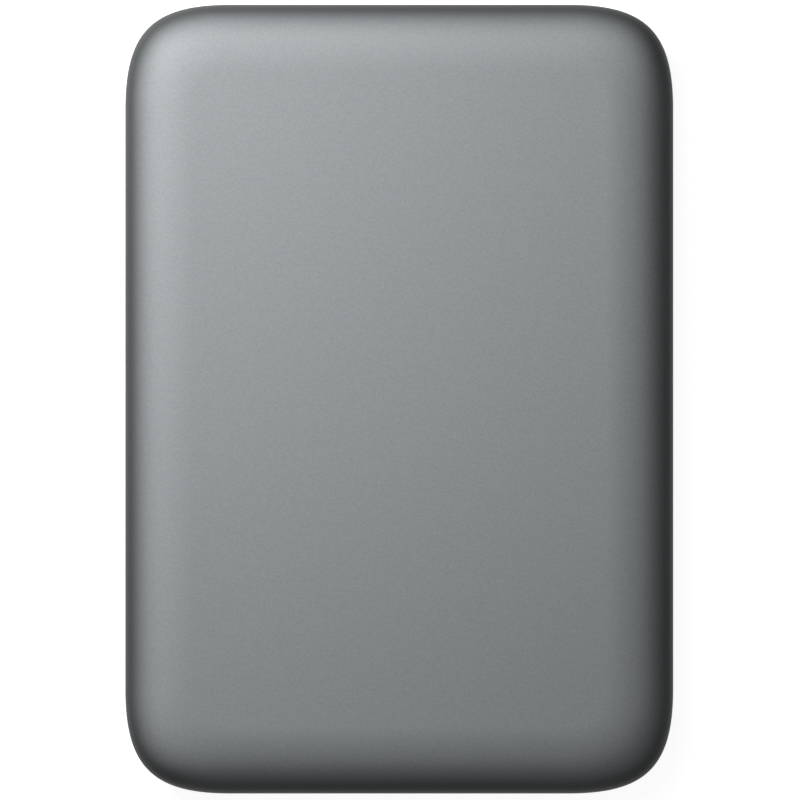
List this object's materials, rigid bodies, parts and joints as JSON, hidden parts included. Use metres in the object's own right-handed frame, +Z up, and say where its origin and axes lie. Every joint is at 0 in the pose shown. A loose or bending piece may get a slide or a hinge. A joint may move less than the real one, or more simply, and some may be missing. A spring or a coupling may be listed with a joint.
{
  "type": "portable hard drive",
  "caption": "Flat pocket case with large rounded corners and pillow-rolled top edges, holding a disc drive and a bridge board that connects it through one socket.",
  "frame": {"origin": "centre of the case in plan, on the table plane under the feet", "axes": "+Z up through the plain top face, +Y along the length to the end with the socket, +X across the width"},
  "size_m": [0.081, 0.1166, 0.0148],
  "materials": {
    "case_top": "satin silver-grey paint with a very fine grain, deepening to graphite on the sides",
    "case_bottom": "matt graphite moulded plastic",
    "foot_rubber": "matt black rubber",
    "bumper_rubber": "soft matt elastomer",
    "foam": "open-cell foam strip",
    "light_guide": "milky clear plastic",
    "circuit_board": "green solder mask",
    "chip": "black moulding compound",
    "capacitor": "tan ceramic body",
    "plated_steel": "satin tin plate",
    "connector": "black moulded plastic",
    "contact_gold": "gold flash",
    "lamp": "clear lamp body",
    "cast_aluminium": "matt die casting",
    "machined_aluminium": "fine turned finish",
    "lid_steel": "satin stainless sheet",
    "seal": "black sealing rubber",
    "bearing_steel": "ground steel",
    "screw_steel": "nickel-plated steel",
    "soft_iron": "nickel-plated iron",
    "magnet": "plated rare-earth magnet",
    "copper": "enamelled copper wire",
    "disc_coating": "polished mirror coating",
    "slider_ceramic": "dark sintered ceramic",
    "ramp_plastic": "ivory bearing plastic",
    "filter": "white fibre pad",
    "flex": "amber film"
  },
  "bodies": {
    "case": {"top_cover": "case_top", "bottom_tray": "case_bottom", "rubber_feet": "foot_rubber", "bumper_port_left": "bumper_rubber", "bumper_port_right": "bumper_rubber", "bumper_far_left": "bumper_rubber", "bumper_far_right": "bumper_rubber", "foam_strips": "foam", "light_pipe": "light_guide", "bridge_board": "circuit_board", "drive_board": "circuit_board", "bridge_chip": "chip", "drive_chips": "chip", "bridge_capacitors": "capacitor", "port_shell": "plated_steel", "clock_crystal": "plated_steel", "port_insert": "connector", "drive_plug": "connector", "drive_socket": "connector", "flex_bracket": "connector", "port_contacts": "contact_gold", "activity_light": "lamp", "drive_base": "cast_aluminium", "drive_lid": "lid_steel", "lid_gasket": "seal", "crash_stops": "seal", "bearing_sleeve": "bearing_steel", "thrust_cap": "bearing_steel", "pivot_post": "bearing_steel", "lid_screws": "screw_steel", "board_screws": "screw_steel", "stator_core": "soft_iron", "lower_yoke": "soft_iron", "upper_yoke": "soft_iron", "yoke_posts": "soft_iron", "lower_magnet": "magnet", "upper_magnet": "magnet", "stator_coils": "copper", "parking_ramp": "ramp_plastic", "air_filter": "filter", "breather_filter": "filter", "flex_ribbon": "flex"},
    "disc_pack": {"spindle_hub": "machined_aluminium", "spindle_shaft": "bearing_steel", "rotor_magnet": "magnet", "lower_disc": "disc_coating", "upper_disc": "disc_coating", "disc_spacer": "machined_aluminium", "disc_clamp": "machined_aluminium", "clamp_screws": "screw_steel"},
    "actuator": {"actuator_arms": "machined_aluminium", "voice_coil": "copper", "pivot_sleeve": "bearing_steel", "suspensions": "bearing_steel", "head_sliders": "slider_ceramic"}
  },
  "joints": [
    {"name": "spindle_spin", "type": "hinge", "parent": "case", "child": "disc_pack", "pos_m": [0, -0.01825, 0.007], "axis": [0, 0, 1], "continuous": true},
    {"name": "actuator_swing", "type": "hinge", "parent": "case", "child": "actuator", "pos_m": [0.015, 0.01755, 0.008], "axis": [0, 0, 1], "range_deg": [0, 34.5], "deforming": ["flex_ribbon"]}
  ]
}
